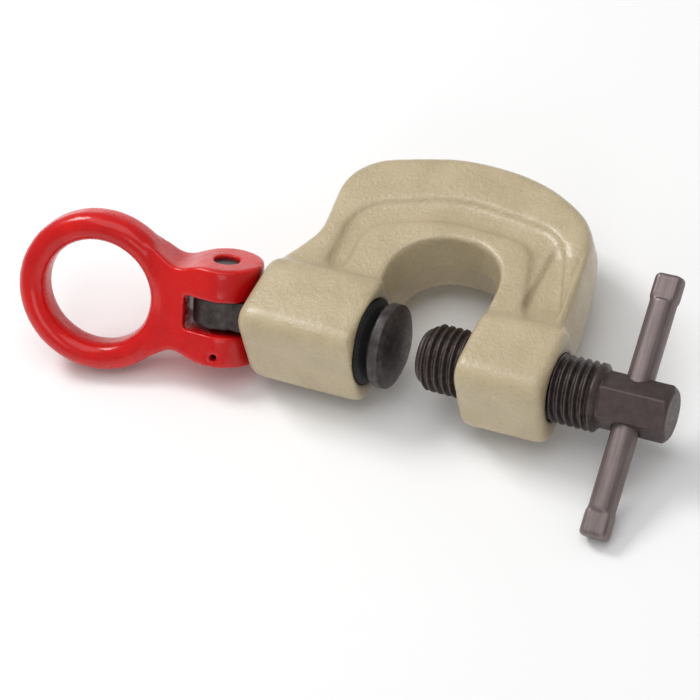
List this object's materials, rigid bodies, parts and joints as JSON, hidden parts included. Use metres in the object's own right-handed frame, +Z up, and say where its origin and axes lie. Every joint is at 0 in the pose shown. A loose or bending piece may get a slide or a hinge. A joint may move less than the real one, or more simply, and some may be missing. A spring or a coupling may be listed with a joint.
{
  "type": "beam clamp",
  "caption": "Screw cam beam clamp: forged C frame, clamping screw with a sliding T-bar, and a swivelling lifting ring whose pull cams a domed jaw forward.",
  "frame": {"origin": "centre of the swivel jaw's clamping face, on the clamping screw's axis", "axes": "+X along the screw axis towards the T-bar, +Y from the mouth of the throat to the arch of the C, +Z up, square to the flat of the C, which lies on its side"},
  "size_m": [0.3075, 0.1589, 0.0704],
  "materials": {
    "frame_paint": "satin beige enamel over forging scale",
    "ring_paint": "glossy red enamel",
    "black_oxide": "black oxide, lightly oiled",
    "bar_steel": "drawn bar, brown oxide",
    "hardened_steel": "ground and hardened",
    "spring_steel": "oiled spring steel",
    "bronze": "turned bearing bronze",
    "seal_rubber": "matt nitrile rubber"
  },
  "bodies": {
    "root": {"frame": "frame_paint", "guide_bush": "bronze", "thrust_washer": "bronze", "plunger_o_ring": "seal_rubber", "retaining_ring": "spring_steel", "wiper_seal": "seal_rubber", "return_spring": "spring_steel"},
    "seat": {"swivel_seat": "hardened_steel"},
    "rod": {"cam_rod": "black_oxide", "tongue_bush": "bronze"},
    "ring": {"lifting_ring": "ring_paint", "hinge_pin": "black_oxide", "hinge_roll_pin": "spring_steel"},
    "plunger": {"jaw_plunger": "hardened_steel", "jaw_clip": "spring_steel"},
    "jaw": {"swivel_jaw": "black_oxide"},
    "pad": {"anvil": "black_oxide", "anvil_clip": "spring_steel"},
    "screw": {"clamp_screw": "black_oxide"},
    "bar": {"t_bar": "bar_steel"}
  },
  "joints": [
    {"name": "rod_swivel", "type": "hinge", "parent": "root", "child": "seat", "pos_m": [-0.0505, 0, 0], "axis": [1, 0, 0], "continuous": true},
    {"name": "rod_tilt", "type": "hinge", "parent": "seat", "child": "rod", "pos_m": [-0.0505, 0, 0], "axis": [0, 0.5, 0.866], "range_deg": [0, 8]},
    {"name": "ring_hinge", "type": "hinge", "parent": "rod", "child": "ring", "pos_m": [-0.0895, 0, 0], "axis": [0, 0.5, 0.866], "range_deg": [-103, 77]},
    {"name": "jaw_slide", "type": "slide", "parent": "root", "child": "plunger", "axis": [1, 0, 0], "range_m": [0, 0.0014], "deforming": ["return_spring"]},
    {"name": "jaw_turn", "type": "hinge", "parent": "plunger", "child": "jaw", "pos_m": [0, 0, 0], "axis": [1, 0, 0], "continuous": true},
    {"name": "screw_feed", "type": "slide", "parent": "root", "child": "pad", "axis": [1, 0, 0], "range_m": [-0.0098, 0.018]},
    {"name": "screw_turn", "type": "hinge", "parent": "pad", "child": "screw", "pos_m": [0, 0, 0], "axis": [1, 0, 0], "range_deg": [-1080, 2160]},
    {"name": "bar_slide", "type": "slide", "parent": "screw", "child": "bar", "axis": [0, 0.8988, 0.4384], "range_m": [-0.032, 0.032]}
  ],
  "couplings": [
    {"joint": "jaw_slide", "follows": "rod_tilt", "m_per_rad": 0.0091232},
    {"joint": "screw_turn", "follows": "screw_feed", "rad_per_m": 1795.2}
  ]
}
